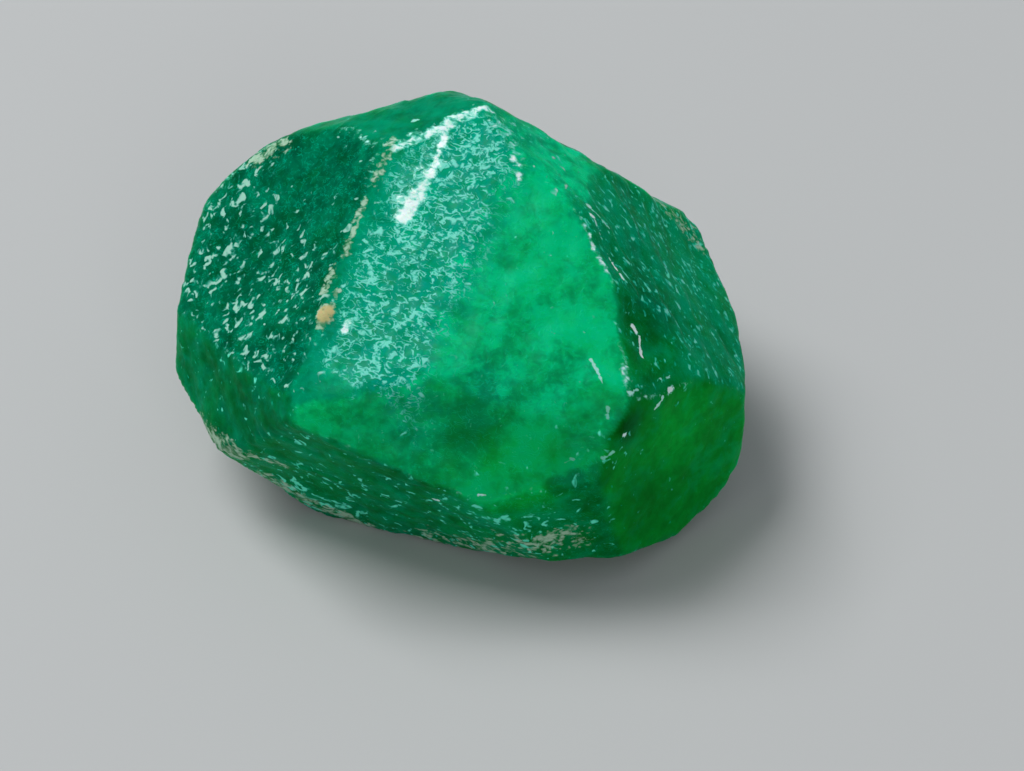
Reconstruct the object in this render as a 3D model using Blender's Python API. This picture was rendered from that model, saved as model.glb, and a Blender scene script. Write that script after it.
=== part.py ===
"""Raw emerald crystal: one loose stone with broken faces, worn edges and shell-shaped hollows.

The stone starts as a ball. Each of its points then slides along its own direction from the
stone's heart until it meets the nearest face or hollow, and crumbs of host rock stand out a little.
The values at the top are in millimetres and degrees, and the mesh is made in metres.
+X runs to the stone's right end, -Y is its front, +Z is up, and it rests on a flat face at Z = 0.
"""

import bmesh
import bpy
import numpy as np

MM = 0.001

# The point inside the stone that every face and hollow is measured from.
HEART = (0.0, -0.31, 4.3)

# Flat broken faces: the compass direction each looks in (0 is the front, 90 the right end),
# its tilt above the horizon, its distance from the heart, and the depth of the ledges across it.
FACES = {
    "front_right": (5, 58, 4.85, 0.00),
    "front_left": (-12, 61, 4.80, 0.02),
    "front_left_bevel": (-34, 61, 5.09, 0.04),
    "front_lower": (-2, 24, 6.00, 0.00),
    "front_band": (-21.5, -24, 5.79, 0.05),
    "front_corner": (8, -7, 6.85, 0.03),
    "left_upper": (-69, 51, 5.41, 0.05),
    "left_lower": (-57, 11, 6.95, 0.03),
    "left_end": (-98, 3, 7.88, 0.05),
    "right_lower": (45, 3, 7.25, 0.00),
    "right_shoulder": (60, 42, 6.38, 0.04),
    "right_upper": (89, 41, 5.76, 0.04),
    "right_end": (93, -3, 7.99, 0.04),
    "top_right": (98, 57, 5.86, 0.04),
    "top_back": (255, 72, 6.08, 0.03),
    "back_upper": (206, 50, 6.48, 0.08),
    "back_left_top": (226, 52, 6.82, 0.05),
    "back_left_upper": (230, 37, 7.26, 0.05),
    "back_peak": (161, 55, 6.49, 0.08),
    "back_right": (143, 41, 5.82, 0.12),
    "back": (188, 14, 6.60, 0.10),
    "back_left": (216, 15, 7.00, 0.08),
    "left_back": (252, 17, 8.02, 0.04),
    "under_front": (5, -61, 6.02, 0.06),
    "under_right": (74, -66, 6.60, 0.08),
    "under_left": (-79, -47, 6.33, 0.08),
    "under_back": (180, -40, 6.30, 0.10),
    "under_back_left": (235, -35, 6.55, 0.08),
    "under_back_right": (126, -26, 6.35, 0.10),
}
REST_FACE = (0, -90, 4.30)

# Shell-shaped hollows: direction of the hollow's middle, its distance from the heart there,
# and the radius of the ball that would fill it.
HOLLOWS = {
    "front_lower_shell": (-6, 22, 5.78, 6.0),
    "front_corner_chip": (29, 22, 6.62, 2.4),
    "front_corner_nick": (23, 8, 6.78, 1.8),
    "right_shoulder_pit": (60, 30, 6.30, 3.6),
    "right_ridge_chip": (52, 49, 6.28, 2.2),
    "right_upper_shell": (98, 28, 6.10, 7.0),
    "left_ridge_chip": (-50, 46, 5.52, 2.4),
    "left_ridge_nick": (-51, 27, 6.26, 2.2),
    "left_upper_shell": (-76, 43, 5.36, 10.0),
    "back_shell": (172, 24, 6.00, 5.0),
    "back_right_shell": (140, 30, 5.80, 5.5),
    "back_left_chip": (212, 36, 6.60, 3.2),
    "under_front_chip": (-10, -33, 5.97, 3.0),
    "under_right_shell": (93, -35, 6.70, 5.0),
    "under_back_shell": (200, -38, 6.15, 4.5),
}

# Crumbs and crusts of host rock fused to the stone: direction, height and half-width, which is
# measured on a ball of CRUMB_REACH round the heart.
CRUMB_REACH = 5.0
CRUMBS = {
    "left_corner_crust": (-115, 21, 0.16, 0.70),
    "left_top_crust": (-120, 33, 0.12, 0.75),
    "left_top_crust_end": (-130, 41, 0.08, 0.50),
    "left_foot_crust": (-66, -8, 0.10, 0.60),
    "left_foot_crumb": (-57, -14, 0.12, 0.35),
    "front_foot_crust": (-45, -32, 0.14, 0.80),
    "front_foot_crumb": (-26, -36, 0.12, 0.50),
    "front_foot_grain": (-4, -31, 0.10, 0.35),
    "left_ridge_grain": (-47, 34, 0.12, 0.22),
}

EDGE_SHARPNESS = 90  # higher values give crisper edges between the faces

# Ledges run along the crystal's grain. Each slopes up gently and then drops in its last stretch.
GRAIN = (0.50, -0.58, -0.64)
LEDGE_WIDTH = 1.7
LEDGE_DROP = 0.16
LEDGE_WANDER = 0.35

# Waves across the broken faces, and the ribs that ring each hollow.
RIPPLE_DEPTH = 0.036
RIPPLE_LENGTH = 2.4
RIPPLE_WAVES = 8
RIB_DEPTH = 0.03
RIB_SPACING = 0.9

BALL_SUBDIVISIONS = 7
FLAT_BASE_HEIGHT = 0.03  # points lower than this are pressed flat onto the rest face
KEPT_TRIANGLES = 9000
SHARP_EDGE_ANGLE = 30

EMERALD_GREEN = (0.0, 0.22, 0.085, 1.0)


def directions(azimuth, elevation):
    """Unit vectors for compass directions and tilts in degrees."""
    a = np.radians(azimuth)
    e = np.radians(elevation)
    return np.stack((np.sin(a) * np.cos(e), -np.cos(a) * np.cos(e), np.sin(e)), axis=-1)


def ripple(points, seed):
    """Sum of plane waves in random directions, mostly between -1 and 1, that roughens a face."""
    rng = np.random.default_rng(seed)
    waves = rng.normal(size=(3, RIPPLE_WAVES))
    waves *= 2 * np.pi / RIPPLE_LENGTH / np.linalg.norm(waves, axis=0)
    waves *= rng.uniform(0.4, 2.0, RIPPLE_WAVES)
    phases = rng.uniform(0, 2 * np.pi, RIPPLE_WAVES)
    return np.sin(points @ waves + phases).sum(axis=1) / np.sqrt(RIPPLE_WAVES)


def ledges(points, outwards, seed):
    """Height of the ledges across a face, from -0.5 to 0.5: a saw-tooth of the distance across."""
    across = np.cross(outwards, GRAIN)
    across /= np.linalg.norm(across)
    steps = (points @ across) / LEDGE_WIDTH + LEDGE_WANDER * ripple(points, seed)
    share = steps - np.floor(steps)
    return np.minimum(share / (1 - LEDGE_DROP), (1 - share) / LEDGE_DROP) - 0.5


def face_reach(rays, azimuth, elevation, distance):
    """How far each ray goes from the heart before it meets a flat face; huge if it never does."""
    towards = rays @ directions(azimuth, elevation)
    return distance / np.maximum(towards, 0.01)


def broken_face_reach(rays, azimuth, elevation, distance, ledge_depth, seed):
    """The reach of a flat face, roughened by its waves and its ledges."""
    reach = face_reach(rays, azimuth, elevation, distance)
    points = rays * np.minimum(reach, 12.0)[:, None]
    reach += RIPPLE_DEPTH * ripple(points, seed)
    return reach + ledge_depth * ledges(points, directions(azimuth, elevation), seed + 100)


def hollow_reach(rays, azimuth, elevation, distance, radius):
    """How far each ray goes before it meets the ball that fills a hollow; huge if it never does.

    Ribs ring the hollow's upper rim, where the blow that broke it fell.
    """
    middle = (distance + radius) * directions(azimuth, elevation)
    along = rays @ middle
    inside = along**2 - middle @ middle + radius**2
    reach = np.where((inside > 0) & (along > 0), along - np.sqrt(np.maximum(inside, 0)), 100.0)
    blow = distance * directions(azimuth, elevation + 20)
    from_blow = np.linalg.norm(rays * distance - blow, axis=1)
    return reach + RIB_DEPTH * np.sin(2 * np.pi * from_blow / RIB_SPACING)


def crumb_rise(rays, azimuth, elevation, height, half_width):
    """A bell-shaped rise above the surface round one direction."""
    away = np.linalg.norm(rays - directions(azimuth, elevation), axis=1) * CRUMB_REACH
    return height * np.exp(-((away / half_width) ** 2))


def stone_reach(rays):
    """Distance from the heart to the stone's surface along each ray, with the edges rounded.

    It is a soft minimum of all faces and hollows: the sum of each reach to a high negative power.
    """
    reaches = [face_reach(rays, *REST_FACE)]
    for seed, face in enumerate(FACES.values()):
        reaches.append(broken_face_reach(rays, *face, seed))
    for hollow in HOLLOWS.values():
        reaches.append(hollow_reach(rays, *hollow))
    powers = np.array(reaches) ** -EDGE_SHARPNESS
    reach = powers.sum(axis=0) ** (-1 / EDGE_SHARPNESS)
    for crumb in CRUMBS.values():
        reach += crumb_rise(rays, *crumb)
    return reach


def clear_scene():
    for old in list(bpy.data.objects):
        bpy.data.objects.remove(old)


def emerald_material():
    material = bpy.data.materials.new("emerald")
    material.use_nodes = True
    shader = material.node_tree.nodes["Principled BSDF"]
    shader.inputs["Base Color"].default_value = EMERALD_GREEN
    shader.inputs["Roughness"].default_value = 0.35
    shader.inputs["Metallic"].default_value = 0.0
    shader.inputs["IOR"].default_value = 1.58
    shader.inputs["Transmission Weight"].default_value = 0.5
    return material


def make_stone():
    """A ball of fine triangles, slid onto the stone's surface and then thinned where it is flat."""
    ball = bmesh.new()
    bmesh.ops.create_icosphere(ball, subdivisions=BALL_SUBDIVISIONS, radius=1.0)
    mesh = bpy.data.meshes.new("emerald_crystal")
    ball.to_mesh(mesh)
    ball.free()

    rays = np.empty(len(mesh.vertices) * 3)
    mesh.vertices.foreach_get("co", rays)
    rays = rays.reshape(-1, 3)
    rays /= np.linalg.norm(rays, axis=1, keepdims=True)
    points = rays * stone_reach(rays)[:, None] + HEART
    points[:, 2] = np.where(points[:, 2] < FLAT_BASE_HEIGHT, 0.0, points[:, 2])
    mesh.vertices.foreach_set("co", (points * MM).ravel())

    stone = bpy.data.objects.new("emerald_crystal", mesh)
    mesh.materials.append(emerald_material())
    thin = stone.modifiers.new("thin_flat_areas", "DECIMATE")
    thin.ratio = KEPT_TRIANGLES / len(mesh.polygons)
    mesh.shade_smooth()
    mesh.set_sharp_from_angle(angle=np.radians(SHARP_EDGE_ANGLE))
    return stone


def main():
    clear_scene()
    collection = bpy.data.collections.new("raw_emerald_crystal")
    bpy.context.scene.collection.children.link(collection)
    collection.objects.link(make_stone())


main()
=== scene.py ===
import bpy
import numpy as np
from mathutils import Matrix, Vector


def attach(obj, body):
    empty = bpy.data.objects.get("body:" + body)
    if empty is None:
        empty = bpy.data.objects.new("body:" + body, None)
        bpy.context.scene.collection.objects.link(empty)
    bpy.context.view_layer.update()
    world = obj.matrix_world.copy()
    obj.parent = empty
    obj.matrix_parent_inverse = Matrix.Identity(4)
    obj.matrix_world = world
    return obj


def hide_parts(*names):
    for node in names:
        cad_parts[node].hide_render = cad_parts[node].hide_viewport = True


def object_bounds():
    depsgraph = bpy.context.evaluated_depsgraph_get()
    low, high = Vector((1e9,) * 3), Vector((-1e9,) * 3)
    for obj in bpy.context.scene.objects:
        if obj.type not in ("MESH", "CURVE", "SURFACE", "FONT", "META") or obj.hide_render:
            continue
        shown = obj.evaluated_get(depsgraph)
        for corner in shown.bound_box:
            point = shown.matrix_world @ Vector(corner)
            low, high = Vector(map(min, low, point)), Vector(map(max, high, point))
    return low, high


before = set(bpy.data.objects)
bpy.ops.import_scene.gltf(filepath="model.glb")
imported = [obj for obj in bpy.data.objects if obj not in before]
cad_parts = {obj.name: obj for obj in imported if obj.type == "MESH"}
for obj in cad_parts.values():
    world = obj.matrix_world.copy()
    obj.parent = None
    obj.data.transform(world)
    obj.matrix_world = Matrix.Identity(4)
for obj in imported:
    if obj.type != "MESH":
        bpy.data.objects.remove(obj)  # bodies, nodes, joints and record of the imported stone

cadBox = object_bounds()  # the frame's box before anything is dressed
mm = 0.001

emeraldShape = {
    "heart": (0.0, -0.31, 4.3),  # mm; every direction below starts here
    "patchReach": 5.0,  # mm from the heart where the half-widths of crumbs, zones and bands are measured
    "gridCells": 128,  # cells along each side of the six grids
    "restFace": (0, -90, 4.30),
    "restHeight": 0.03,  # mm; points lower than this lie flat on the rest face
    "edgeSharpness": 90,  # higher is crisper
    "smallestCosine": 0.01,  # between a ray and a face's direction; keeps every reach finite
    "rippleReach": 12.0,  # mm from the heart; a face's ripples are measured no farther out
    "missedReach": 100.0,  # mm; the reach of a ray that misses a hollow
    "waveSpread": (0.4, 2.0),  # least and most waves of a ripple in its length
    "leastChord": 1e-9,  # squared length of the shortest chord between two directions
    "raySteps": 1e6,  # rays that round to the same step, of this many in a unit, are one point
    "creaseGain": 8,  # higher lets gentler bends between faces count as edges
    # azimuth, elevation, distance mm, ledge depth mm
    "brokenFaces": {
        "frontRight": (5, 58, 4.85, 0.00),
        "frontLeft": (-12, 61, 4.80, 0.02),
        "frontLeftBevel": (-34, 61, 5.09, 0.04),
        "frontLower": (-2, 24, 6.00, 0.00),
        "frontBand": (-21.5, -24, 5.79, 0.05),
        "frontCorner": (8, -7, 6.85, 0.03),
        "leftUpper": (-69, 51, 5.41, 0.05),
        "leftLower": (-57, 11, 6.95, 0.03),
        "leftEnd": (-98, 3, 7.88, 0.05),
        "rightLower": (45, 3, 7.25, 0.00),
        "rightShoulder": (60, 42, 6.38, 0.04),
        "rightUpper": (89, 41, 5.76, 0.04),
        "rightEnd": (93, -3, 7.99, 0.04),
        "topRight": (98, 57, 5.86, 0.04),
        "topBack": (255, 72, 6.08, 0.03),
        "backUpper": (206, 50, 6.48, 0.08),
        "backLeftTop": (226, 52, 6.82, 0.05),
        "backLeftUpper": (230, 37, 7.26, 0.05),
        "backPeak": (161, 55, 6.49, 0.08),
        "backRight": (143, 41, 5.82, 0.12),
        "back": (188, 14, 6.60, 0.10),
        "backLeft": (216, 15, 7.00, 0.08),
        "leftBack": (252, 17, 8.02, 0.04),
        "underFront": (5, -61, 6.02, 0.06),
        "underRight": (74, -66, 6.60, 0.08),
        "underLeft": (-79, -47, 6.33, 0.08),
        "underBack": (180, -40, 6.30, 0.10),
        "underBackLeft": (235, -35, 6.55, 0.08),
        "underBackRight": (126, -26, 6.35, 0.10),
    },
    # azimuth, elevation, floor distance mm, ball radius mm
    "hollows": {
        "frontLowerShell": (-6, 22, 5.78, 6.0),
        "frontCornerChip": (29, 22, 6.62, 2.4),
        "frontCornerNick": (23, 8, 6.78, 1.8),
        "rightShoulderPit": (60, 30, 6.30, 3.6),
        "rightRidgeChip": (52, 49, 6.28, 2.2),
        "rightUpperShell": (98, 28, 6.10, 7.0),
        "leftRidgeChip": (-50, 46, 5.52, 2.4),
        "leftRidgeNick": (-51, 27, 6.26, 2.2),
        "leftUpperShell": (-76, 43, 5.36, 10.0),
        "backShell": (172, 24, 6.00, 5.0),
        "backRightShell": (140, 30, 5.80, 5.5),
        "backLeftChip": (212, 36, 6.60, 3.2),
        "underFrontChip": (-10, -33, 5.97, 3.0),
        "underRightShell": (93, -35, 6.70, 5.0),
        "underBackShell": (200, -38, 6.15, 4.5),
    },
    # azimuth, elevation, height mm, half-width mm, share of tan
    "crumbs": {
        "leftCornerCrust": (-115, 21, 0.16, 0.70, 0.3),
        "leftTopCrust": (-120, 33, 0.12, 0.75, 0.3),
        "leftTopCrustEnd": (-130, 41, 0.08, 0.50, 0.3),
        "leftFootCrust": (-66, -8, 0.10, 0.60, 0.0),
        "leftFootCrumb": (-57, -14, 0.12, 0.35, 0.2),
        "frontFootCrust": (-45, -32, 0.14, 0.80, 0.1),
        "frontFootCrumb": (-26, -36, 0.12, 0.50, 0.2),
        "frontFootGrain": (-4, -31, 0.10, 0.35, 0.2),
        "leftRidgeGrain": (-47, 34, 0.12, 0.22, 1.0),
    },
    "ledges": {"grain": (0.50, -0.58, -0.64), "width": 1.7, "drop": 0.16, "wander": 0.35, "firstSeed": 100},
    "ripples": {"depth": 0.036, "length": 2.4, "waves": 8},
    "ribs": {"depth": 0.03, "spacing": 0.9, "blowAbove": 20},  # degrees above the hollow's middle
    "fineRipples": {"depth": 0.010, "length": 0.9, "waves": 14, "seed": 501},
    "chippedEdges": {"depth": 0.05, "length": 0.45, "waves": 24, "seed": 502, "deepest": 2},
}


def directions(azimuth, elevation):
    # Unit vectors (sin a cos e, -cos a cos e, sin e) for compass directions and tilts in degrees
    a = np.radians(azimuth)
    e = np.radians(elevation)
    return np.stack((np.sin(a) * np.cos(e), -np.cos(a) * np.cos(e), np.sin(e)), axis=-1)


def ripple(points, seed, length, waves):
    # Sum of sines of plane waves in seeded directions, over the root of their number
    rng = np.random.default_rng(seed)
    fronts = rng.normal(size=(3, waves))
    fronts *= 2 * np.pi / length / np.linalg.norm(fronts, axis=0)
    fronts *= rng.uniform(*emeraldShape["waveSpread"], waves)
    phases = rng.uniform(0, 2 * np.pi, waves)
    return np.sin(points @ fronts + phases).sum(axis=1) / np.sqrt(waves)


def ledges(points, outwards, seed):
    # Saw-tooth of the distance across the grain: a slow rise, then a drop in the last stretch
    steps = emeraldShape["ledges"]
    waves = emeraldShape["ripples"]
    across = np.cross(outwards, steps["grain"])
    across /= np.linalg.norm(across)
    travel = (points @ across) / steps["width"]
    travel += steps["wander"] * ripple(points, seed, waves["length"], waves["waves"])
    share = travel - np.floor(travel)
    return np.minimum(share / (1 - steps["drop"]), (1 - share) / steps["drop"]) - 0.5


def faceReach(rays, azimuth, elevation, distance):
    # Distance of a flat face over the cosine between the ray and the face's own direction
    return distance / np.maximum(rays @ directions(azimuth, elevation), emeraldShape["smallestCosine"])


def brokenFaceReach(rays, azimuth, elevation, distance, ledgeDepth, seed):
    # The flat face's reach plus its ripples and its ledges
    waves = emeraldShape["ripples"]
    reach = faceReach(rays, azimuth, elevation, distance)
    points = rays * np.minimum(reach, emeraldShape["rippleReach"])[:, None]
    reach += waves["depth"] * ripple(points, seed, waves["length"], waves["waves"])
    ledgeSeed = seed + emeraldShape["ledges"]["firstSeed"]
    return reach + ledgeDepth * ledges(points, directions(azimuth, elevation), ledgeSeed)


def hollowReach(rays, azimuth, elevation, distance, radius):
    # Nearer meeting of the ray with a ball outside the stone, plus ribs round the blow above it
    ribs = emeraldShape["ribs"]
    middle = (distance + radius) * directions(azimuth, elevation)
    along = rays @ middle
    inside = along**2 - middle @ middle + radius**2
    meets = (inside > 0) & (along > 0)
    reach = np.where(meets, along - np.sqrt(np.maximum(inside, 0)), emeraldShape["missedReach"])
    blow = distance * directions(azimuth, elevation + ribs["blowAbove"])
    fromBlow = np.linalg.norm(rays * distance - blow, axis=1)
    return reach + ribs["depth"] * np.sin(2 * np.pi * fromBlow / ribs["spacing"])


def bell(rays, azimuth, elevation, halfWidth, power=2):
    # e to the minus power of the distance from one direction over the half-width
    away = np.linalg.norm(rays - directions(azimuth, elevation), axis=1) * emeraldShape["patchReach"]
    return np.exp(-((away / halfWidth) ** power))


def chordOf(startAzimuth, startElevation, endAzimuth, endElevation):
    # Start of an arc between two directions, its chord, and the chord's squared length
    start = directions(startAzimuth, startElevation)
    chord = directions(endAzimuth, endElevation) - start
    return start, chord, max(chord @ chord, emeraldShape["leastChord"])


def arcShare(rays, halfWidth, *ends):
    # Bell of the distance from the nearest point of the arc between two directions
    start, chord, squared = chordOf(*ends)
    travel = np.clip((rays - start) @ chord / squared, 0, 1)
    nearest = start + travel[:, None] * chord
    nearest /= np.linalg.norm(nearest, axis=1, keepdims=True)
    away = np.linalg.norm(rays - nearest, axis=1) * emeraldShape["patchReach"]
    return np.exp(-((away / halfWidth) ** 2))


def gridQuads(cells):
    # The four corners round each cell of a square grid whose corners are numbered row by row
    corner = np.arange((cells + 1) ** 2).reshape(cells + 1, cells + 1)
    ring = (corner[:-1, :-1], corner[1:, :-1], corner[1:, 1:], corner[:-1, 1:])
    return np.stack(ring, axis=-1).reshape(-1, 4)


def cubeRays(cells):
    # Six grids of equal angles: (1, tan u, tan v) turned to each side of a cube, made unit length
    angles = np.linspace(-np.pi / 4, np.pi / 4, cells + 1)
    u, v = np.meshgrid(np.tan(angles), np.tan(angles), indexing="ij")
    quads = gridQuads(cells)
    rays = []
    faces = []
    for turn in range(3):
        for side in (1.0, -1.0):
            sheet = np.stack((np.full_like(u, side), u, side * v), axis=-1).reshape(-1, 3)
            faces.append(quads + len(rays) * len(sheet))
            rays.append(np.roll(sheet, turn, axis=1))
    rays = np.concatenate(rays)
    rays /= np.linalg.norm(rays, axis=1, keepdims=True)
    steps = np.round(rays * emeraldShape["raySteps"]).astype(np.int64)
    _, first, place = np.unique(steps, axis=0, return_index=True, return_inverse=True)
    return rays[first], place.reshape(-1)[np.concatenate(faces)]


def faceShares(rays):
    # Soft minimum of all reaches, and each surface's share: its reach to a high negative power
    reaches = {"restFace": faceReach(rays, *emeraldShape["restFace"])}
    for seed, (name, face) in enumerate(emeraldShape["brokenFaces"].items()):
        reaches[name] = brokenFaceReach(rays, *face, seed)
    for name, hollow in emeraldShape["hollows"].items():
        reaches[name] = hollowReach(rays, *hollow)
    sharpness = emeraldShape["edgeSharpness"]
    powers = {name: reach**-sharpness for name, reach in reaches.items()}
    total = sum(powers.values())
    return total ** (-1 / sharpness), {name: power / total for name, power in powers.items()}


def creased(shares):
    # One minus the length of the shares' mean direction, times the gain: 0 on a face, 1 on an edge
    shape = emeraldShape
    surfaces = {"restFace": shape["restFace"], **shape["brokenFaces"], **shape["hollows"]}
    mean = sum(shares[name][:, None] * directions(*surface[:2]) for name, surface in surfaces.items())
    return np.clip((1 - np.linalg.norm(mean, axis=1)) * shape["creaseGain"], 0, 1)


def shapedPoints(rays):
    # Each ray times its reach: soft minimum plus crumbs, plus fine ripples, minus chips along the edges
    reach, shares = faceShares(rays)
    for azimuth, elevation, height, halfWidth, _ in emeraldShape["crumbs"].values():
        reach = reach + height * bell(rays, azimuth, elevation, halfWidth)
    smooth = rays * reach[:, None]
    fine = emeraldShape["fineRipples"]
    chips = emeraldShape["chippedEdges"]
    offRest = 1 - shares["restFace"]
    reach = reach + fine["depth"] * ripple(smooth, fine["seed"], fine["length"], fine["waves"]) * offRest
    worn = creased(shares) * offRest
    bite = np.clip(ripple(smooth, chips["seed"], chips["length"], chips["waves"]), 0, chips["deepest"])
    reach = reach - chips["depth"] * bite * worn
    return rays * reach[:, None], shares


def fitInside(points, low, high):
    # Shrinks each axis about the box's middle just enough to lie inside the box
    middle = (low + high) / 2
    reach = np.abs(points - middle).max(axis=0)
    return middle + (points - middle) * np.minimum(1, (high - low) / 2 / reach)


def placeInFrame(points):
    # Moves the points from the heart to the frame, flattens the rest face and fits the CAD's box
    placed = points + np.array(emeraldShape["heart"])
    placed[:, 2] = np.where(placed[:, 2] < emeraldShape["restHeight"], 0.0, placed[:, 2])
    return fitInside(placed * mm, np.array(cadBox[0]), np.array(cadBox[1]))


def quadMesh(name, points, faces):
    # A smooth-shaded mesh of four-sided faces, filled from whole arrays
    mesh = bpy.data.meshes.new(name)
    mesh.vertices.add(len(points))
    mesh.vertices.foreach_set("co", points.ravel())
    mesh.loops.add(faces.size)
    mesh.loops.foreach_set("vertex_index", faces.ravel().astype(np.int32))
    mesh.polygons.add(len(faces))
    mesh.polygons.foreach_set("loop_start", np.arange(0, faces.size, 4, dtype=np.int32))
    mesh.update(calc_edges=True)
    mesh.validate()
    mesh.shade_smooth()
    return mesh


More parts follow.
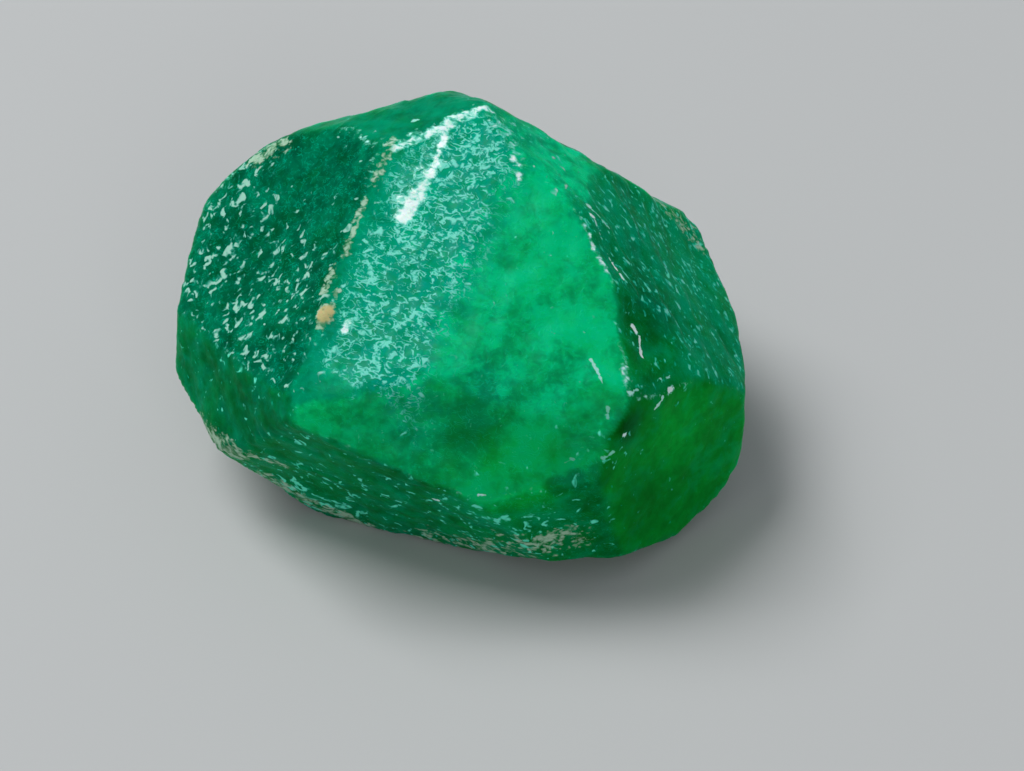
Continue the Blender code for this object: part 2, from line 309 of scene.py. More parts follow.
emeraldMarks = {
    # tone 0 deep to 1 bright, warmth 0 blue-green to 1 yellow-green, flecks, streaks, haze, clearness
    # The tone is partly the stone's own colour and partly painted light and shade: faces that face the light
    # are painted brighter, faces turned from it darker
    "faces": {
        "frontRight": (0.85, 0.12, 0.00, 0.00, 0.65, 0.8),
        "frontLeft": (0.57, 0.00, 0.08, 0.00, 0.40, 0.4),
        "frontLeftBevel": (0.34, 0.00, 0.26, 0.00, 0.35, 0.0),
        "frontLower": (0.86, 0.40, 0.02, 0.00, 0.60, 0.9),
        "frontBand": (0.29, 0.42, 0.34, 0.00, 0.30, 0.0),
        "frontCorner": (0.27, 0.60, 0.12, 0.00, 0.45, 0.0),
        "leftUpper": (0.18, 0.00, 0.52, 0.00, 0.60, 0.0),
        "leftLower": (0.22, 0.32, 0.12, 0.00, 0.15, 0.0),
        "leftEnd": (0.23, 0.05, 0.35, 0.00, 0.15, 0.0),
        "rightLower": (0.39, 0.90, 0.00, 0.00, 0.15, 0.1),
        "rightShoulder": (0.33, 0.58, 0.08, 0.50, 0.30, 0.0),
        "rightUpper": (0.41, 0.28, 0.06, 0.82, 0.45, 0.0),
        "rightEnd": (0.40, 0.40, 0.10, 0.75, 0.30, 0.0),
        "topRight": (0.79, 0.05, 0.20, 0.45, 0.60, 0.3),
        "topBack": (0.31, 0.05, 0.03, 0.00, 0.15, 0.2),
        "leftBack": (0.24, 0.05, 0.40, 0.00, 0.40, 0.3),
        "backLeftUpper": (0.27, 0.05, 0.34, 0.10, 0.35, 0.4),
        "backLeftTop": (0.29, 0.05, 0.20, 0.10, 0.30, 0.4),
        "backLeft": (0.30, 0.10, 0.20, 0.20, 0.30, 0.4),
        "backRight": (0.38, 0.15, 0.30, 0.40, 0.40, 0.4),
        "underLeft": (0.26, 0.20, 0.20, 0.00, 0.20, 0.3),
        "underFront": (0.30, 0.30, 0.20, 0.00, 0.20, 0.3),
    },
    "otherFaces": (0.34, 0.12, 0.16, 0.15, 0.35, 0.5),
    # hollows that are finished as the face they lie in
    "hollowFaces": {
        "frontLowerShell": "frontLower",
        "frontCornerChip": "frontLower",
        "frontCornerNick": "frontLower",
        "rightShoulderPit": "rightShoulder",
        "rightRidgeChip": "rightShoulder",
        "rightUpperShell": "rightUpper",
        "leftRidgeChip": "frontLeftBevel",
        "leftRidgeNick": "leftUpper",
        "leftUpperShell": "leftUpper",
        "underFrontChip": "frontBand",
    },
    "borderSharpness": 2.2,  # higher changes the finish more sharply from face to face
    # azimuth, elevation, half-width mm, changes of tone, warmth and flecks
    # On the seen side the glows paint light passing through the stone and the shades paint shade where faces
    # turn from the light; the back's glow and shade only vary its tone, the clouds darken it in soft patches
    # and the fleck beds add flecks
    "softZones": {
        "darkCloud": (4, 11, 0.80, -0.50, 0.25, 0.0),
        "cornerCloud": (28, 10, 0.45, -0.40, 0.0, 0.0),
        "cornerEdgeShade": (39, 10, 0.45, -0.34, 0.0, 0.0),
        "leftCloud": (-14, 10, 0.70, -0.22, 0.0, 0.0),
        "topCloud": (10, 24, 0.90, -0.18, 0.0, 0.0),
        "lowerRimGlow": (10, 0, 0.80, 0.48, 0.15, 0.0),
        "cornerRimGlow": (22, 6, 0.80, 0.40, 0.20, 0.0),
        "frontGlow": (30, 42, 1.80, 0.15, 0.0, 0.0),
        "frontShade": (35, 62, 0.70, -0.22, 0.2, 0.0),
        "rightGlow": (56, -2, 0.80, 0.16, 0.2, 0.0),
        "rightFootShade": (44, -16, 0.90, -0.14, 0.2, 0.0),
        "shoulderShade": (68, 24, 0.90, -0.20, 0.0, 0.0),
        "leftClearing": (-112, 50, 1.60, 0.0, 0.0, -0.60),
        "leftFleckBed": (-62, 20, 1.40, 0.0, 0.0, 0.14),
        "leftCornerFlecks": (-95, 22, 1.30, 0.0, 0.0, 0.16),
        "cornerFlecks": (31, 7, 0.45, 0.0, 0.0, 0.30),
        "cornerFlecksRight": (36, 2, 0.40, 0.0, 0.0, 0.35),
        "footFlecks": (14, -16, 1.20, 0.0, 0.0, 0.34),
        "footFlecksLeft": (-46, -28, 1.20, 0.0, 0.0, 0.35),
        "rightEdgeFlecks": (112, 14, 1.40, 0.0, 0.0, 0.30),
        "backGlow": (168, 30, 1.90, 0.20, 0.10, 0.0),
        "backShade": (203, 12, 1.40, -0.12, 0.0, 0.10),
        "backFleckBed": (150, 8, 1.10, 0.0, 0.0, 0.30),
        "backFleckBedLeft": (236, 24, 1.20, 0.0, 0.0, 0.25),
    },
    # painted shade where the corner's faces turn from the light: azimuth, elevation, half-width mm, share of
    # the tone taken away
    "paintedShadeSpots": {
        "cornerLeft": (22.5, -0.5, 0.24, 0.50),
        "cornerMiddle": (27, 0, 0.27, 0.55),
        "cornerRight": (32, 1, 0.32, 0.50),
        "cornerFoot": (28, -5, 0.40, 0.30),
    },
    "shadeSpotOutline": 6,  # higher gives the painted shade spots a crisper outline
    # host rock left on the surface: from azimuth, elevation to azimuth, elevation, half-width mm, strength
    "crustTrails": {
        "leftTop": (-117.5, 29, -121, 36, 0.30, 0.90),
        "leftFoot": (-70, -12, -59, -11, 0.42, 1.0),
        "leftFootTail": (-58, -9, -49, -12, 0.24, 0.80),
        "leftRim": (-58, -24, -33, -44, 0.48, 0.84),
        "footScatter": (-12, -42, 14, -28, 0.80, 0.70),
        "footScatterRight": (14, -22, 26, -18, 0.70, 0.70),
        "rightOutline": (118, 20, 110, 6, 0.40, 0.70),
        "ridgeTop": (-122, 70, -90, 66, 0.24, 0.76),
        "ridgeMiddle": (-82, 62, -66, 54, 0.18, 0.76),
        "ridgeLower": (-64, 52, -60, 49, 0.24, 0.88),
        "ridgeFoot": (-59, 44, -54, 38, 0.24, 0.84),
        "ridgeSpotOne": (-50, 40, -50, 39, 0.14, 1.0),
        "ridgeGrain": (-47.5, 35, -46, 32.5, 0.26, 1.20),
    },
    # from azimuth, elevation to azimuth, elevation, half-width mm, strength
    # The streak and top ridge bands are painted highlights of the light along the ridge; the others are
    # rubbed pale marks
    "rubbedAndHighlightBands": {
        "topRidgeLeft": (-116, 71, -143, 77, 0.13, 0.85),
        "topRidge": (-143, 77, -173, 77.5, 0.17, 1.10),
        "topRidgeRight": (-173, 77.5, 157, 73, 0.15, 0.85),
        "streakTop": (-161, 80, -90, 82, 0.15, 0.90),
        "streakMiddle": (-90, 82, -66, 76, 0.20, 1.05),
        "streakCore": (-66, 76, -57, 70, 0.28, 1.30),
        "streakVeil": (-120, 82, -62, 70, 0.50, 0.50),
        "streakTail": (-44, 70, -31, 68, 0.18, 0.60),
        "topSpotTwo": (101, 75, 98, 75, 0.13, 1.05),
        "topSpotThree": (84, 73, 82, 73, 0.12, 1.05),
        "topEdge": (150, 72, 95, 74, 0.22, 0.62),
        "palerGrain": (-39.3, 34.8, -38.7, 32.8, 0.14, 1.10),
    },
    # frosted surface with a painted sheen on it, a strip seen from above, from its start to its end, mm from
    # the heart
    "frostAndSheenBand": {
        "start": (0.40, 1.25),
        "end": (-2.69, -5.15),
        "halfWidth": 1.72,
        "leftFade": 0.10,
        "rightFade": 0.35,
        "endFade": 0.10,
        "wander": {"depth": 0.12, "length": 0.8, "waves": 12, "seed": 901},
    },
    # how much of the band lies on each face
    "frostAndSheenFaces": {
        "frontLeft": 1.0,
        "frontRight": 1.0,
        "frontLower": 1.0,
        "frontLowerShell": 1.0,
        "topRight": 0.5,
        "frontLeftBevel": 0.3,
    },
    # edges painted pale, partly rubbed wear and partly painted glints where they catch the light: the two
    # faces that meet there and the strength of the pale
    "wornAndGlintingEdges": {
        ("topBack", "frontLeft"): 1.0,
        ("topBack", "frontRight"): 0.8,
        ("topBack", "frontLeftBevel"): 1.0,
        ("topRight", "frontLeft"): 0.7,
        ("topRight", "frontRight"): 0.4,
        ("leftUpper", "frontLeftBevel"): 0.5,
        ("leftUpper", "topBack"): 0.7,
        ("leftUpper", "leftLower"): 0.3,
        ("leftUpper", "leftBack"): 0.4,
        ("leftUpper", "backLeftUpper"): 0.5,
        ("frontRight", "rightUpper"): 0.8,
        ("frontRight", "rightShoulder"): 0.9,
        ("frontLower", "rightLower"): 0.6,
        ("frontLower", "frontBand"): 0.3,
        ("frontLower", "frontCorner"): 0.4,
        ("rightShoulder", "rightLower"): 0.5,
        ("rightUpper", "rightLower"): 0.3,
    },
    "edgeNarrowness": 1.5,  # higher keeps the wear and painted glints closer to the edge
    "everyEdge": 0.25,  # the least wear and painted glint on any edge
}


def strongestTrail(rays, trails):
    # The largest, over the trails, of a trail's strength times the nearness to its arc
    mark = np.zeros(len(rays))
    for *ends, halfWidth, strength in trails.values():
        mark = np.maximum(mark, strength * arcShare(rays, halfWidth, *ends))
    return mark


def paintFinish(rays, shares):
    # Each field: sum over the surfaces of sharpened share times finish, plus the soft zones; then the
    # painted shade spots darken the tone
    names = ("tone", "warmth", "flecks", "streaks", "haze", "clear")
    powers = {name: share ** emeraldMarks["borderSharpness"] for name, share in shares.items()}
    total = sum(powers.values())
    painted = np.zeros((len(rays), len(names)))
    # Each face's tone carries its painted light and shade along with the stone's own colour
    for name, power in powers.items():
        host = emeraldMarks["hollowFaces"].get(name, name)
        finish = emeraldMarks["faces"].get(host, emeraldMarks["otherFaces"])
        painted += (power / total)[:, None] * np.array(finish)
    # Soft zones: painted glow and shade in the tone, darker cloud patches and fleck beds
    for azimuth, elevation, halfWidth, *changes in emeraldMarks["softZones"].values():
        zone = bell(rays, azimuth, elevation, halfWidth)
        painted[:, :3] += zone[:, None] * np.array(changes)  # tone, warmth and flecks
    fields = dict(zip(names, painted.T))

    # Painted shade: the tone is taken away in spots where the corner's faces turn from the light
    shadeTaken = np.zeros(len(rays))
    for azimuth, elevation, halfWidth, taken in emeraldMarks["paintedShadeSpots"].values():
        cornerShade = bell(rays, azimuth, elevation, halfWidth, emeraldMarks["shadeSpotOutline"])
        shadeTaken = np.maximum(shadeTaken, taken * cornerShade)
    fields["tone"] = np.clip(fields["tone"], 0, 1) * (1 - shadeTaken)
    return fields


def fadeOut(distance, fade):
    # One over one plus e to the distance over the fade: 1 well below zero, 0 well above
    return 1 / (1 + np.exp(distance / fade))


def frostAndSheenShare(points, shares):
    # Product of the fades past both sides and the lower end, times the share of faces with frost and painted
    # sheen
    band = emeraldMarks["frostAndSheenBand"]
    wander = band["wander"]
    start = np.array(band["start"])
    heading = np.array(band["end"]) - start
    length = np.linalg.norm(heading)
    heading /= length
    plan = points[:, :2] - start
    plan += wander["depth"] * ripple(points, wander["seed"], wander["length"], wander["waves"])[:, None]
    across = plan @ np.array((-heading[1], heading[0]))  # positive to the right of the band
    leftSide = fadeOut(-(across + band["halfWidth"]), band["leftFade"])
    rightSide = fadeOut(across - band["halfWidth"], band["rightFade"])
    lowerEnd = fadeOut(plan @ heading - length, band["endFade"])
    facing = sum(amount * shares[name] for name, amount in emeraldMarks["frostAndSheenFaces"].items())
    return leftSide * rightSide * lowerEnd * facing


def wearAndGlintShare(rays, shares):
    # The strongest of any edge, the worn and glinting edges and the rubbed and highlight bands: rubbed wear
    # with painted glints and highlights. A worn edge's strength is times 4 x both faces' shares, which is 1
    # where they are equal, to a power
    wearAndGlints = emeraldMarks["everyEdge"] * creased(shares)
    for (one, other), strength in emeraldMarks["wornAndGlintingEdges"].items():
        edge = (4 * shares[one] * shares[other]) ** emeraldMarks["edgeNarrowness"]
        wearAndGlints = np.maximum(wearAndGlints, strength * edge)
    return np.maximum(wearAndGlints, strongestTrail(rays, emeraldMarks["rubbedAndHighlightBands"]))


def tanShare(rays):
    # The largest, over the crumbs, of a crumb's share of tan times the nearness to it
    tan = np.zeros(len(rays))
    for azimuth, elevation, _, halfWidth, share in emeraldShape["crumbs"].values():
        tan = np.maximum(tan, share * bell(rays, azimuth, elevation, halfWidth))
    return tan


def paintCrystal(mesh, rays, points, shares):
    # Stores each field, held between 0 and 1, as a number on the stone's points
    fields = paintFinish(rays, shares)
    fields["frostAndSheen"] = frostAndSheenShare(points, shares)
    fields["crust"] = strongestTrail(rays, emeraldMarks["crustTrails"])
    fields["tan"] = tanShare(rays)
    fields["wearAndGlints"] = wearAndGlintShare(rays, shares)
    for name, values in fields.items():
        layer = mesh.attributes.new(name, "FLOAT", "POINT")
        layer.data.foreach_set("value", np.clip(values, 0, 1).astype(np.float32))


def makeCrystal():
    # The stone's mesh, painted with the numbers that its material reads
    rays, faces = cubeRays(emeraldShape["gridCells"])
    points, shares = shapedPoints(rays)
    mesh = quadMesh("emeraldCrystal", placeInFrame(points), faces)
    paintCrystal(mesh, rays, points, shares)
    crystal = bpy.data.objects.new("emeraldCrystal", mesh)
    bpy.context.scene.collection.objects.link(crystal)
    print("stone:", len(points), "points,", len(faces), "quads")
    return crystal


emeraldFinish = {
    "deep": (0.000, 0.052, 0.022, 1),
    "middle": (0.000, 0.295, 0.140, 1),
    "bright": (0.000, 0.700, 0.280, 1),
    "warmDeep": (0.001, 0.062, 0.002, 1),
    "warmBright": (0.002, 0.600, 0.060, 1),
    "haze": (0.000, 0.780, 0.500, 1),
    "veil": (0.000, 0.340, 0.235, 1),
    # the frost's strokes: pale frosting, whitened further as painted sheen
    "frostAndSheen": (0.045, 0.540, 0.410, 1),
    "frostAndSheenPale": (0.190, 0.730, 0.590, 1),
    "streak": (0.008, 0.560, 0.360, 1),
    "fleckDull": (0.020, 0.340, 0.250, 1),
    "fleckPale": (0.310, 0.600, 0.480, 1),
    "fleckGlow": (0.090, 0.900, 0.620, 1),
    # pale of rubbed wear and of painted glints and highlights
    "rubbedAndGlint": (0.760, 0.930, 0.890, 1),
    "crustTan": (0.110, 0.280, 0.140, 1),
    "crustPale": (0.380, 0.570, 0.420, 1),
    "grainTan": (0.560, 0.450, 0.210, 1),
    "refraction": 1.58,
    "gloss": 0.004,
    "glossTint": (0.10, 1.0, 0.80, 1),
    "glazeRoughness": 0.22,
    "wearAndGlintGlaze": 0.40,
    "frostAndSheenGlaze": 0.03,
    "cloudDepth": (0.2, 1.4, 0.7),  # mm that red, green and blue light wander under the surface
    "absorbed": (0.0, 0.92, 0.62, 1),
    "absorption": 260.0,  # per metre
    "grainTurn": (0.0, 0.694, -0.859),  # radians, turns X to run along the crystal's grain
    "grainStretch": 1.3,
    "frostAndSheenTurn": (0.0, 0.166, -0.319),
    "frostAndSheenStretch": 1.5,
    "relief": 0.016 * mm,
    "markRelief": 0.7,  # height of strokes and flecks beside that of the ragged noise
    "patchWarmth": 2.4,  # warmth lost where patches raise the tone
    "hazeStrokes": 0.45,  # strength of the haze's strokes beside the frost's
    "hazeShare": 0.5,  # how far the haze's strokes turn the body to the haze's colour
    "streakWeight": 0.20,
    "frostAndSheenFlecks": 0.34,  # flecks that the frost and its painted sheen add
    "fleckWeight": 0.26,
    "fleckGathering": 0.30,  # how strongly patches gather the flecks
    "wearAndGlintRaggedness": 1.20,
    "crustRaggedness": 0.5,
    "crustWeight": 0.5,
    # waves a millimetre, detail, distortion, roughness
    "noises": {
        "cloud": (0.60, 3.0, 0.4, 0.6),
        "patch": (1.4, 3.0, 0.3, 0.6),
        "ragged": (3.4, 3.0, 0.4, 0.65),
        "frostAndSheen": (6.8, 1.4, 0.5, 0.5),
        "fleck": (4.0, 1.8, 0.5, 0.55),
        "streak": (5.2, 1.4, 0.4, 0.5),
    },
    # start and end of a smooth step, and what it gives before its start and after its end
    "gates": {
        "cloudShift": (0.3, 0.7, -0.08, 0.08),
        "patchShift": (0.3, 0.7, -0.10, 0.10),
        "raggedShift": (0.3, 0.7, -0.08, 0.08),
        "shiftByTone": (0.2, 0.8, 0.5, 1.3),
        "deepToMiddle": (0.0, 0.5, 0.0, 1.0),
        "middleToBright": (0.5, 1.0, 0.0, 1.0),
        "frostAndSheenPatches": (0.25, 0.60, 0.65, 1.0),
        "strokeBreaks": (0.34, 0.56, 0.0, 0.125),
        "strokeEdge": (-0.010, 0.075, 0.0, 0.95),
        "strokeStart": (0.0, 0.12, 0.0, 1.0),
        "strokeCore": (0.020, 0.095, 0.0, 1.0),
        "hazeToFrostAndSheen": (0.1, 0.7, 0.0, 1.0),
        "veilPatches": (0.38, 0.62, 0.25, 1.0),
        "streakEdge": (0.72, 0.86, 0.0, 0.9),
        "streakCore": (0.79, 0.93, 0.0, 1.0),
        "fleckEdge": (0.85, 0.96, 0.0, 0.95),
        "fleckCore": (0.88, 0.99, 0.0, 1.0),
        "fleckInWarmth": (0.04, 0.3, 0.0, 0.8),
        "fleckInFrostAndSheen": (0.1, 0.5, 0.0, 1.0),
        "wearAndGlintEdge": (1.56, 2.40, 0.0, 1.0),
        "wearAndGlintStart": (0.1, 0.3, 0.0, 1.0),
        "wearAndGlintCover": (0.0, 0.6, 0.0, 1.0),
        "wearAndGlintCore": (0.30, 0.95, 0.0, 1.0),
        "scratchAndGlintWobble": (0.2, 0.8, -0.03, 0.03),
        "crustEdge": (0.80, 0.96, 0.0, 0.9),
        "crustPatches": (0.42, 0.58, 0.0, 1.0),
        "tanEdge": (0.3, 0.6, 0.0, 1.0),
        "roughness": (0.0, 1.0, 0.32, 0.55),
        "clearness": (0.0, 1.0, 0.34, 0.0),
        "cloudiness": (0.0, 1.0, 0.7, 0.2),
    },
    "scratchAndGlintEdge": (0.5, 1.3),  # half-widths from the middle where each scratch and painted glint starts and stops fading
    # from azimuth, elevation to azimuth, elevation, half-width mm, strength
    # The crack and its tail, the upper line and the front scratch are marks on the stone; the rest are
    # painted glints and highlights where edges catch the light
    "scratchesAndGlints": {
        "shoulderSpot": (78.5, 51.2, 78.5, 50.6, 0.060, 1.0),
        "shoulderLine": (77.5, 50, 66.5, 39.5, 0.022, 0.55),
        "shoulderCross": (67, 39.6, 65.8, 38.0, 0.045, 1.0),
        "shoulderFoot": (64.5, 36.5, 64, 35.3, 0.040, 0.80),
        "upperLine": (83, 51, 81, 44, 0.022, 0.45),
        "upperSpot": (84, 52.5, 84, 52, 0.060, 0.60),
        "pitTriangle": (55.5, 25.8, 55, 24.6, 0.060, 0.95),
        "pitSlash": (51.8, 20, 55, 23, 0.040, 0.9),
        "crackSpot": (41.5, 17, 42, 16.6, 0.060, 0.60),
        "crack": (42, 17, 55, 13.4, 0.018, 0.50),
        "crackGlint": (52.8, 11.2, 53.5, 11.2, 0.060, 1.10),
        "crackTail": (47.5, 9.6, 50.5, 11.2, 0.025, 0.60),
        "frontScratch": (38.5, 25, 37.5, 20, 0.022, 0.55),
        "cornerRimLeft": (25, 4.4, 27, 4.8, 0.030, 0.40),
        "cornerRimRight": (32.5, 5.0, 34.5, 6.0, 0.034, 0.44),
        "cornerRimTop": (35.5, 13, 36.5, 15, 0.026, 0.42),
        "cornerGlint": (38, 8.6, 38.2, 8.4, 0.045, 0.90),
        "footSpotOne": (5, -2, 6.5, -2, 0.032, 0.70),
        "footSpotTwo": (-6, -9, -5, -9, 0.045, 0.70),
        "backGlint": (-149, 69.5, -145, 69, 0.045, 0.50),
    },
}


def addNode(tree, kind, inputs=None, **settings):
    # A node whose inputs are fixed values or outputs of other nodes
    node = tree.nodes.new(kind)
    for name, value in settings.items():
        setattr(node, name, value)
    for name, value in (inputs or {}).items():
        if isinstance(value, bpy.types.NodeSocket):
            tree.links.new(value, node.inputs[name])
        else:
            node.inputs[name].default_value = value
    return node


def calculate(tree, operation, first, second=0.0, clamp=False):
    # One step of arithmetic on two numbers, held between 0 and 1 if it is clamped
    settings = {"operation": operation, "use_clamp": clamp}
    return addNode(tree, "ShaderNodeMath", {0: first, 1: second}, **settings).outputs[0]


def plus(tree, first, second, clamp=False):
    # First plus second
    return calculate(tree, "ADD", first, second, clamp)


def minus(tree, first, second, clamp=False):
    # First minus second
    return calculate(tree, "SUBTRACT", first, second, clamp)


def times(tree, first, second):
    # First times second
    return calculate(tree, "MULTIPLY", first, second)


def larger(tree, first, second):
    # The larger of the two
    return calculate(tree, "MAXIMUM", first, second)


def combine(tree, operation, first, second, result=0):
    # One step of arithmetic on two vectors; result 1 is the output that holds a number
    return addNode(tree, "ShaderNodeVectorMath", {0: first, 1: second}, operation=operation).outputs[result]


def ease(tree, value, low, high, bottom, top):
    # Smooth step from bottom to top as the value goes from low to high
    inputs = {"Value": value, "From Min": low, "From Max": high, "To Min": bottom, "To Max": top}
    return addNode(tree, "ShaderNodeMapRange", inputs, interpolation_type="SMOOTHSTEP").outputs[0]


def gate(tree, value, name):
    # The named smooth step of a value
    return ease(tree, value, *emeraldFinish["gates"][name])


def blendColours(tree, share, under, over):
    # The under colour turning into the over colour as the share goes to 1
    return addNode(tree, "ShaderNodeMix", {0: share, 6: under, 7: over}, data_type="RGBA").outputs[2]


def field(tree, name):
    # A number painted on the stone's points
    return addNode(tree, "ShaderNodeAttribute", attribute_name=name).outputs["Fac"]


def stretched(tree, place, turn, stretch):
    # The place measured along a turned axis, where one unit is that many times longer
    inputs = {"Vector": place, "Rotation": turn, "Scale": (stretch, 1, 1)}
    return addNode(tree, "ShaderNodeMapping", inputs, vector_type="TEXTURE").outputs[0]


def grain(tree, place, scale, detail, distortion, roughness):
    # Noise with so many waves a millimetre
    inputs = {"Vector": place, "Scale": scale, "Detail": detail, "Distortion": distortion}
    inputs["Roughness"] = roughness
    return addNode(tree, "ShaderNodeTexNoise", inputs).outputs[0]


def emeraldNoises(tree, place):
    # The noises that the layers share; frost and streaks are drawn out along their own directions
    finish = emeraldFinish
    drawnOut = {
        "frostAndSheen": stretched(tree, place, finish["frostAndSheenTurn"], finish["frostAndSheenStretch"]),
        "streak": stretched(tree, place, finish["grainTurn"], finish["grainStretch"]),
    }
    return {name: grain(tree, drawnOut.get(name, place), *noise) for name, noise in finish["noises"].items()}


def bodyColour(tree, noises):
    # Painted tone, which holds painted glow and shade, plus the noises' shifts picks the green, and warmth
    # minus patches turns it yellower
    finish = emeraldFinish
    painted = field(tree, "tone")
    patchShift = gate(tree, noises["patch"], "patchShift")
    fineShift = plus(tree, patchShift, gate(tree, noises["ragged"], "raggedShift"))
    shift = plus(tree, gate(tree, noises["cloud"], "cloudShift"), fineShift)
    shift = times(tree, shift, gate(tree, painted, "shiftByTone"))
    tone = plus(tree, painted, shift, clamp=True)
    lowerTone = blendColours(tree, gate(tree, tone, "deepToMiddle"), finish["deep"], finish["middle"])
    cool = blendColours(tree, gate(tree, tone, "middleToBright"), lowerTone, finish["bright"])
    warm = blendColours(tree, tone, finish["warmDeep"], finish["warmBright"])
    cooling = times(tree, patchShift, finish["patchWarmth"])
    warmth = minus(tree, field(tree, "warmth"), cooling, clamp=True)
    return blendColours(tree, warmth, cool, warm)


def frostAndSheenLayer(tree, noises, body):
    # A veil, then pale strokes where the frost noise crosses its middle: frosting, whitened further as
    # painted sheen. Haze has fewer, greener strokes
    finish = emeraldFinish
    frostAndSheen = times(tree, field(tree, "frostAndSheen"), gate(tree, noises["patch"], "frostAndSheenPatches"))
    strokes = larger(tree, frostAndSheen, times(tree, field(tree, "haze"), finish["hazeStrokes"]))
    crossing = calculate(tree, "ABSOLUTE", minus(tree, noises["frostAndSheen"], 0.5))
    strokeWidth = times(tree, strokes, gate(tree, noises["ragged"], "strokeBreaks"))
    strokeDepth = minus(tree, strokeWidth, crossing)
    strokeMask = times(tree, gate(tree, strokeDepth, "strokeEdge"), gate(tree, strokes, "strokeStart"))
    hazeColour = blendColours(tree, finish["hazeShare"], body, finish["haze"])
    core = gate(tree, strokeDepth, "strokeCore")
    frostAndSheenColour = blendColours(tree, core, finish["frostAndSheen"], finish["frostAndSheenPale"])
    strokeColour = blendColours(tree, gate(tree, frostAndSheen, "hazeToFrostAndSheen"), hazeColour, frostAndSheenColour)
    veil = times(tree, frostAndSheen, gate(tree, noises["fleck"], "veilPatches"))
    colour = blendColours(tree, veil, body, finish["veil"])
    return blendColours(tree, strokeMask, colour, strokeColour), frostAndSheen, strokeMask


def streakLayer(tree, noises, colour):
    # Short pale lines along the grain, where the streak noise plus the painted streaks is high
    finish = emeraldFinish
    amount = plus(tree, noises["streak"], times(tree, field(tree, "streaks"), finish["streakWeight"]))
    core = gate(tree, amount, "streakCore")
    streakColour = blendColours(tree, core, finish["streak"], finish["frostAndSheenPale"])
    return blendColours(tree, gate(tree, amount, "streakEdge"), colour, streakColour)


def fleckLayer(tree, noises, frostAndSheen, colour):
    # Ragged scales where the fleck noise, the patches, the painted flecks and the frost with its painted
    # sheen add up high
    finish = emeraldFinish
    painted = plus(tree, field(tree, "flecks"), times(tree, frostAndSheen, finish["frostAndSheenFlecks"]))
    gathered = plus(tree, noises["fleck"], times(tree, noises["patch"], finish["fleckGathering"]))
    amount = plus(tree, gathered, times(tree, painted, finish["fleckWeight"]))
    fleckMask = gate(tree, amount, "fleckEdge")
    core = gate(tree, amount, "fleckCore")
    fleckColour = blendColours(tree, core, finish["fleckDull"], finish["fleckPale"])
    inWarmth = gate(tree, field(tree, "warmth"), "fleckInWarmth")
    fleckColour = blendColours(tree, inWarmth, fleckColour, finish["fleckGlow"])
    fleckColour = blendColours(tree, gate(tree, frostAndSheen, "fleckInFrostAndSheen"), fleckColour, finish["frostAndSheenPale"])
    return blendColours(tree, fleckMask, colour, fleckColour), fleckMask


def scratchAndGlintMask(tree, place, wobble):
    # Nearness of each place's direction from the heart to the arc of each scratch and painted glint, the
    # strongest kept
    fromHeart = combine(tree, "SUBTRACT", place, emeraldShape["heart"])
    ray = combine(tree, "NORMALIZE", fromHeart, (0, 0, 0))
    inner, outer = emeraldFinish["scratchAndGlintEdge"]
    mask = 0.0
    for *ends, halfWidth, strength in emeraldFinish["scratchesAndGlints"].values():
        start, chord, squared = chordOf(*ends)
        offset = combine(tree, "SUBTRACT", ray, tuple(start))
        travel = combine(tree, "DOT_PRODUCT", offset, tuple(chord / squared), result=1)
        share = plus(tree, travel, 0.0, clamp=True)
        inputs = {0: tuple(chord), 3: share}
        nearest = addNode(tree, "ShaderNodeVectorMath", inputs, operation="SCALE").outputs[0]
        away = combine(tree, "DISTANCE", offset, nearest, result=1)
        away = plus(tree, times(tree, away, emeraldShape["patchReach"]), wobble)
        mark = ease(tree, away, halfWidth * inner, halfWidth * outer, strength, 0.0)
        mask = larger(tree, mask, mark)
    return mask


def wearAndGlintLayer(tree, noises, place, colour):
    # Painted wear and glints plus noise, or the scratches and painted glints where they are stronger, turn
    # the colour pale
    finish = emeraldFinish
    painted = field(tree, "wearAndGlints")
    raggedness = times(tree, plus(tree, noises["ragged"], noises["frostAndSheen"]), finish["wearAndGlintRaggedness"])
    rubbedAndGlint = gate(tree, plus(tree, painted, raggedness), "wearAndGlintEdge")
    rubbedAndGlint = times(tree, rubbedAndGlint, gate(tree, painted, "wearAndGlintStart"))
    wobble = gate(tree, noises["frostAndSheen"], "scratchAndGlintWobble")
    wearAndGlintMask = larger(tree, rubbedAndGlint, scratchAndGlintMask(tree, place, wobble))
    core = gate(tree, wearAndGlintMask, "wearAndGlintCore")
    rubbedAndGlintColour = blendColours(tree, core, finish["frostAndSheenPale"], finish["rubbedAndGlint"])
    return blendColours(tree, gate(tree, wearAndGlintMask, "wearAndGlintCover"), colour, rubbedAndGlintColour), wearAndGlintMask


def crustLayer(tree, noises, colour):
    # Host rock where the painted crust plus noise is high, tan on the crumbs painted tan
    finish = emeraldFinish
    raggedness = times(tree, plus(tree, noises["ragged"], noises["frostAndSheen"]), finish["crustRaggedness"])
    amount = plus(tree, times(tree, field(tree, "crust"), finish["crustWeight"]), raggedness)
    crustMask = gate(tree, amount, "crustEdge")
    patches = gate(tree, raggedness, "crustPatches")
    crustColour = blendColours(tree, patches, finish["crustTan"], finish["crustPale"])
    tanEdge = gate(tree, field(tree, "tan"), "tanEdge")
    crustColour = blendColours(tree, tanEdge, crustColour, finish["grainTan"])
    return blendColours(tree, crustMask, colour, crustColour), crustMask


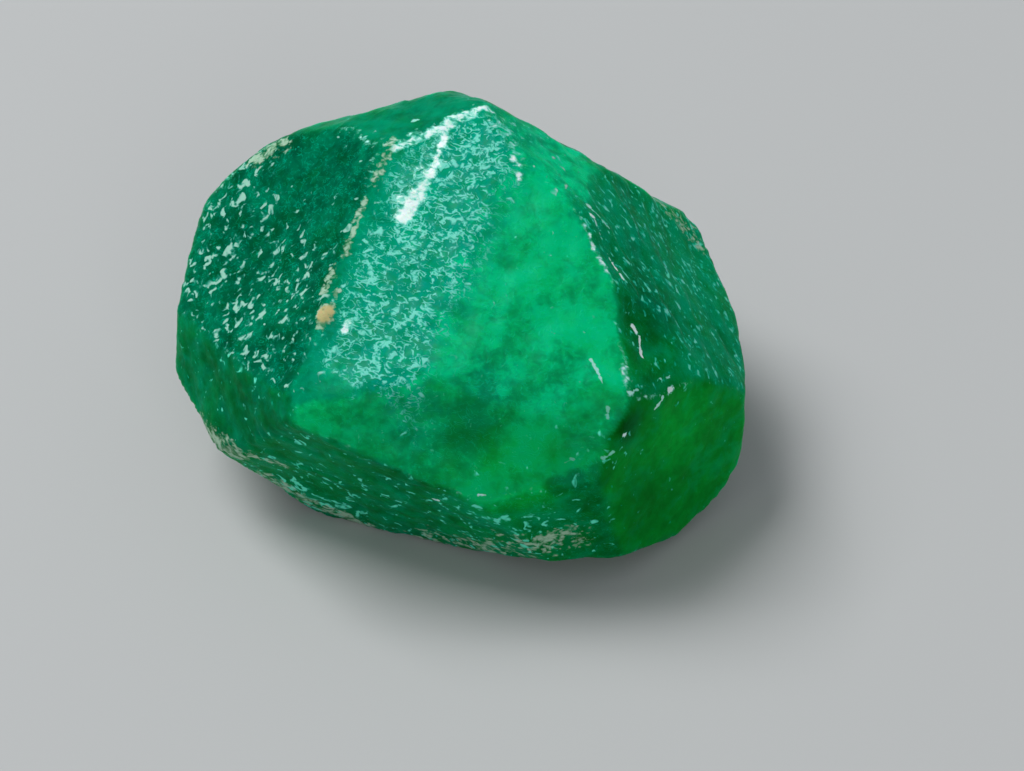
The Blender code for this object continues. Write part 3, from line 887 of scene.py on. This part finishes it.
def emeraldMaterial():
    # A clouded body, its tone holding painted glow and shade, under frost with painted sheen, streaks,
    # flecks, rubbed bands with painted highlights, scratches with painted glints, and host rock
    finish = emeraldFinish
    material = bpy.data.materials.new("cloudyEmerald")
    material.use_nodes = True
    tree = material.node_tree
    shader = tree.nodes["Principled BSDF"]
    objectPlace = addNode(tree, "ShaderNodeTexCoord").outputs["Object"]
    inMillimetres = {"Vector": objectPlace, "Scale": (1 / mm, 1 / mm, 1 / mm)}
    place = addNode(tree, "ShaderNodeMapping", inMillimetres).outputs[0]
    noises = emeraldNoises(tree, place)

    colour, frostAndSheen, strokeMask = frostAndSheenLayer(tree, noises, bodyColour(tree, noises))
    colour = streakLayer(tree, noises, colour)
    colour, fleckMask = fleckLayer(tree, noises, frostAndSheen, colour)
    colour, wearAndGlintMask = wearAndGlintLayer(tree, noises, place, colour)
    colour, crustMask = crustLayer(tree, noises, colour)

    pale = larger(tree, larger(tree, frostAndSheen, wearAndGlintMask), larger(tree, fleckMask, crustMask))
    wearAndGlintGlaze = times(tree, wearAndGlintMask, finish["wearAndGlintGlaze"])
    frostAndSheenGlaze = times(tree, frostAndSheen, finish["frostAndSheenGlaze"])
    marksHeight = times(tree, larger(tree, strokeMask, fleckMask), finish["markRelief"])
    height = plus(tree, noises["ragged"], marksHeight)
    bumpInputs = {"Height": height, "Strength": 1.0, "Distance": finish["relief"]}
    varied = {
        "Base Color": colour,
        "Roughness": gate(tree, pale, "roughness"),
        "Transmission Weight": times(tree, gate(tree, pale, "clearness"), field(tree, "clear")),
        "Subsurface Weight": gate(tree, pale, "cloudiness"),
        "Coat Weight": larger(tree, wearAndGlintGlaze, frostAndSheenGlaze),
        "Normal": addNode(tree, "ShaderNodeBump", bumpInputs).outputs[0],
    }
    for name, value in varied.items():
        tree.links.new(value, shader.inputs[name])
    shader.inputs["IOR"].default_value = finish["refraction"]
    shader.inputs["Specular IOR Level"].default_value = finish["gloss"]
    shader.inputs["Specular Tint"].default_value = finish["glossTint"]
    shader.inputs["Coat Roughness"].default_value = finish["glazeRoughness"]
    shader.inputs["Subsurface Radius"].default_value = finish["cloudDepth"]
    shader.inputs["Subsurface Scale"].default_value = mm
    absorberInputs = {"Color": finish["absorbed"], "Density": finish["absorption"]}
    absorber = addNode(tree, "ShaderNodeVolumeAbsorption", absorberInputs)
    tree.links.new(absorber.outputs[0], tree.nodes["Material Output"].inputs["Volume"])
    return material


studio = {
    "floorHalf": 1.5,  # metres
    "floorColour": (0.49, 0.50, 0.50, 1),
    "floorRoughness": 0.85,
    "skyColour": (0.90, 0.95, 1.0, 1),
    "skyStrength": 0.30,
    "cameraTilt": 42.0,  # degrees above the floor
    "cameraDistance": 90.0,  # mm
    "frameWidth": 29.0,  # mm across the picture at the stone
    "sensorWidth": 36.0,  # mm
    "nearest": 0.001,  # metres from the camera
    "farthest": 10.0,
    "aimRight": 1.473,  # mm from the heart
    "aimDown": 1.713,
    # azimuth, elevation, distance m, width m, length m, watts, lights the clouded body, glints on the gloss
    "lights": {
        "leftSoftbox": (-115, 58, 0.40, 0.22, 0.22, 1.40, True, False),
        "streakStrip": (-52, 76, 0.30, 0.012, 0.05, 0.25, False, True),
        "frontFill": (15, 30, 0.50, 0.20, 0.20, 0.35, True, True),
    },
}


def makeFloor():
    # A level square of two cells by two
    half = studio["floorHalf"]
    u, v = np.meshgrid(np.linspace(-half, half, 3), np.linspace(-half, half, 3), indexing="ij")
    points = np.stack((u, v, np.zeros_like(u)), axis=-1).reshape(-1, 3)
    mesh = bpy.data.meshes.new("paleFloor")
    mesh.from_pydata(points.tolist(), [], gridQuads(2).tolist())
    floor = bpy.data.objects.new("paleFloor", mesh)
    bpy.context.scene.collection.objects.link(floor)
    material = bpy.data.materials.new("paleFloor")
    material.use_nodes = True
    shader = material.node_tree.nodes["Principled BSDF"]
    shader.inputs["Base Color"].default_value = studio["floorColour"]
    shader.inputs["Roughness"].default_value = studio["floorRoughness"]
    mesh.materials.append(material)


def aimAt(thing, place, target):
    # Puts a light or camera at a place with its back axis pointing away from the target
    thing.location = place
    away = Vector(place) - Vector(target)
    thing.rotation_mode = "QUATERNION"
    thing.rotation_quaternion = away.to_track_quat("Z", "Y")


def makeLights():
    # Each lamp stands at its direction times its distance from the heart, and faces the heart
    heart = np.array(emeraldShape["heart"]) * mm
    for name, light in studio["lights"].items():
        azimuth, elevation, distance, width, length, watts, shades, glints = light
        lamp = bpy.data.lights.new(name, "AREA")
        lamp.shape = "RECTANGLE"
        lamp.size = width
        lamp.size_y = length
        lamp.energy = watts
        holder = bpy.data.objects.new(name, lamp)
        bpy.context.scene.collection.objects.link(holder)
        aimAt(holder, heart + distance * directions(azimuth, elevation), heart)
        holder.visible_diffuse = shades
        holder.visible_glossy = glints
    world = bpy.data.worlds.new("softSky")
    world.use_nodes = True
    sky = world.node_tree.nodes["Background"]
    sky.inputs["Color"].default_value = studio["skyColour"]
    sky.inputs["Strength"].default_value = studio["skyStrength"]
    bpy.context.scene.world = world


def makeCamera():
    # Stands back along the tilt from a point beside the heart; lens = sensor x distance / frame width
    heart = np.array(emeraldShape["heart"])
    tilt = np.radians(studio["cameraTilt"])
    upward = np.array((0.0, np.sin(tilt), np.cos(tilt)))
    back = np.array((0.0, -np.cos(tilt), np.sin(tilt)))
    aim = heart + studio["aimRight"] * np.array((1.0, 0.0, 0.0)) - studio["aimDown"] * upward
    lens = bpy.data.cameras.new("viewCamera")
    lens.sensor_width = studio["sensorWidth"]
    lens.lens = studio["sensorWidth"] * studio["cameraDistance"] / studio["frameWidth"]
    lens.clip_start = studio["nearest"]
    lens.clip_end = studio["farthest"]
    camera = bpy.data.objects.new("viewCamera", lens)
    bpy.context.scene.collection.objects.link(camera)
    aimAt(camera, (aim + studio["cameraDistance"] * back) * mm, aim * mm)
    bpy.context.scene.camera = camera


crystal = makeCrystal()
crystal.data.materials.append(emeraldMaterial())
print("finish: cloudy emerald applied")
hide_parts("emerald_crystal")
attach(crystal, "root")
makeFloor()
makeLights()
makeCamera()
bpy.context.scene.view_settings.view_transform = "Standard"
print("studio: floor, lights and camera placed")
